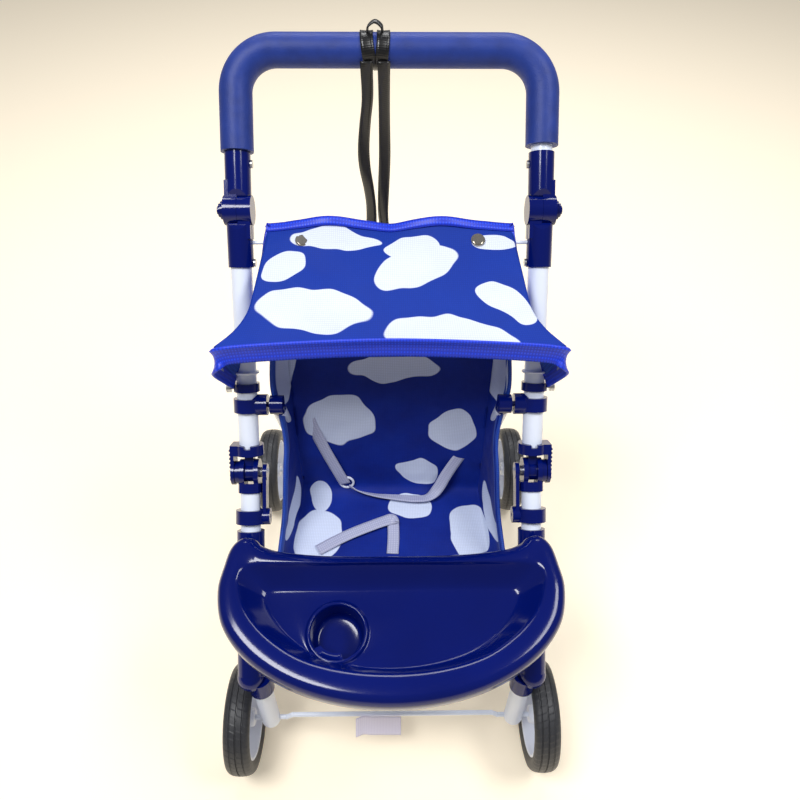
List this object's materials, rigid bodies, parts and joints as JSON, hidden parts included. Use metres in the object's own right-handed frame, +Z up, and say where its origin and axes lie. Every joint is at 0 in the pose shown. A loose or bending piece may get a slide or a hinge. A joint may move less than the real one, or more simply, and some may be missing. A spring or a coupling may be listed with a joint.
{
  "type": "doll stroller",
  "caption": "Folding doll stroller with white tube frame, navy plastic joints and tray with cup holder, spotted fabric seat and canopy, foam push handle and black tyres.",
  "frame": {"origin": "on the floor, under the middle of the stroller's length and width, strap left out", "axes": "+Z up, the front with the tray faces -Y, +X is to the right as seen from the front"},
  "size_m": [0.3428, 0.4719, 0.5748],
  "materials": {
    "powder_white": "smooth powder coat",
    "navy_plastic": "moulded, glossy",
    "foam": "closed-cell foam sleeve with a soft skin",
    "tyre": "moulded EVA foam, satin",
    "white_plastic": "moulded, semi-gloss",
    "spotted_cloth": "printed woven polyester with white patches",
    "webbing": "ribbed polyester webbing",
    "elastic": "braided elastic cord",
    "board": "plain grey board",
    "steel": "zinc plated",
    "nickel": "satin nickel plated",
    "paper": "blank tag",
    "strap_black": "glossy black flat tape"
  },
  "bodies": {
    "front_frame": {"lower_tube_left": "powder_white", "lower_tube_right": "powder_white", "leg_socket_left": "navy_plastic", "leg_socket_right": "navy_plastic", "front_leg_left": "powder_white", "front_leg_right": "powder_white", "front_axle": "powder_white", "front_axle_caps": "white_plastic", "fold_bracket_left": "navy_plastic", "fold_bracket_right": "navy_plastic", "fold_pins": "steel", "lower_collar_left": "navy_plastic", "lower_collar_right": "navy_plastic", "tray": "navy_plastic", "seat_rod": "steel", "seat_board": "board", "seat_cover": "spotted_cloth", "shoulder_harness": "webbing", "harness_ring": "white_plastic", "crotch_strap": "webbing", "label_tag": "paper"},
    "upper_frame": {"upper_tube_left": "powder_white", "upper_tube_right": "powder_white", "fold_tongues": "navy_plastic", "upper_clamp_left": "navy_plastic", "upper_clamp_right": "navy_plastic", "lower_sleeve_left": "navy_plastic", "lower_sleeve_right": "navy_plastic", "cross_rod": "powder_white", "lower_sleeve_screws": "steel", "elastic_loops": "elastic", "canopy_clips": "navy_plastic", "canopy_snaps": "nickel"},
    "lock_left": {"lock_slide_left": "navy_plastic"},
    "lock_right": {"lock_slide_right": "navy_plastic"},
    "push_handle": {"upper_sleeve_left": "navy_plastic", "upper_sleeve_right": "navy_plastic", "handle_tube": "powder_white", "foam_grip": "foam", "upper_sleeve_screws": "steel", "strap_hitch": "strap_black", "strap_tail_left": "strap_black", "strap_tail_right": "strap_black"},
    "button_left": {"flip_button_left": "navy_plastic"},
    "button_right": {"flip_button_right": "navy_plastic"},
    "canopy": {"canopy_hoop": "steel", "canopy_cover": "spotted_cloth"},
    "rear_legs": {"rear_leg_left": "powder_white", "rear_leg_right": "powder_white", "rear_leg_ends": "navy_plastic", "rear_axle": "powder_white", "rear_axle_caps": "white_plastic"},
    "wheel_front_left": {"tyre_front_left": "tyre", "rim_front_left": "white_plastic"},
    "wheel_front_right": {"tyre_front_right": "tyre", "rim_front_right": "white_plastic"},
    "wheel_rear_left": {"tyre_rear_left": "tyre", "rim_rear_left": "white_plastic"},
    "wheel_rear_right": {"tyre_rear_right": "tyre", "rim_rear_right": "white_plastic"}
  },
  "joints": [
    {"name": "frame_fold", "type": "hinge", "parent": "front_frame", "child": "upper_frame", "pos_m": [0, -0.01932, 0.258], "axis": [1, 0, 0], "range_deg": [0, 100], "deforming": ["seat_cover", "shoulder_harness"]},
    {"name": "rear_leg_fold", "type": "hinge", "parent": "upper_frame", "child": "rear_legs", "pos_m": [0, 0.02085, 0.31036], "axis": [1, 0, 0], "range_deg": [-110, 0]},
    {"name": "handle_flip", "type": "hinge", "parent": "upper_frame", "child": "push_handle", "pos_m": [0, 0.1286, 0.45078], "axis": [1, 0, 0], "range_deg": [0, 110]},
    {"name": "canopy_tilt", "type": "hinge", "parent": "upper_frame", "child": "canopy", "pos_m": [0, 0.0312, 0.32385], "axis": [1, 0, 0], "range_deg": [-30, 0], "deforming": ["canopy_cover"]},
    {"name": "lock_left_slide", "type": "slide", "parent": "upper_frame", "child": "lock_left", "axis": [0, 0.6088, 0.7934], "range_m": [0, 0.014]},
    {"name": "lock_right_slide", "type": "slide", "parent": "upper_frame", "child": "lock_right", "axis": [0, 0.6088, 0.7934], "range_m": [0, 0.014]},
    {"name": "button_left_press", "type": "slide", "parent": "push_handle", "child": "button_left", "axis": [1, 0, 0], "range_m": [0, 0.0024], "stiffness_N_per_m": 300},
    {"name": "button_right_press", "type": "slide", "parent": "push_handle", "child": "button_right", "axis": [-1, 0, 0], "range_m": [0, 0.0024], "stiffness_N_per_m": 300},
    {"name": "wheel_front_left_spin", "type": "hinge", "parent": "front_frame", "child": "wheel_front_left", "pos_m": [-0.15, -0.18132, 0.054], "axis": [1, 0, 0], "continuous": true},
    {"name": "wheel_front_right_spin", "type": "hinge", "parent": "front_frame", "child": "wheel_front_right", "pos_m": [0.15, -0.18132, 0.054], "axis": [1, 0, 0], "continuous": true},
    {"name": "wheel_rear_left_spin", "type": "hinge", "parent": "rear_legs", "child": "wheel_rear_left", "pos_m": [-0.155, 0.12868, 0.054], "axis": [1, 0, 0], "continuous": true},
    {"name": "wheel_rear_right_spin", "type": "hinge", "parent": "rear_legs", "child": "wheel_rear_right", "pos_m": [0.155, 0.12868, 0.054], "axis": [1, 0, 0], "continuous": true}
  ],
  "couplings": [
    {"joint": "rear_leg_fold", "follows": "frame_fold", "ratio": -1.1}
  ]
}
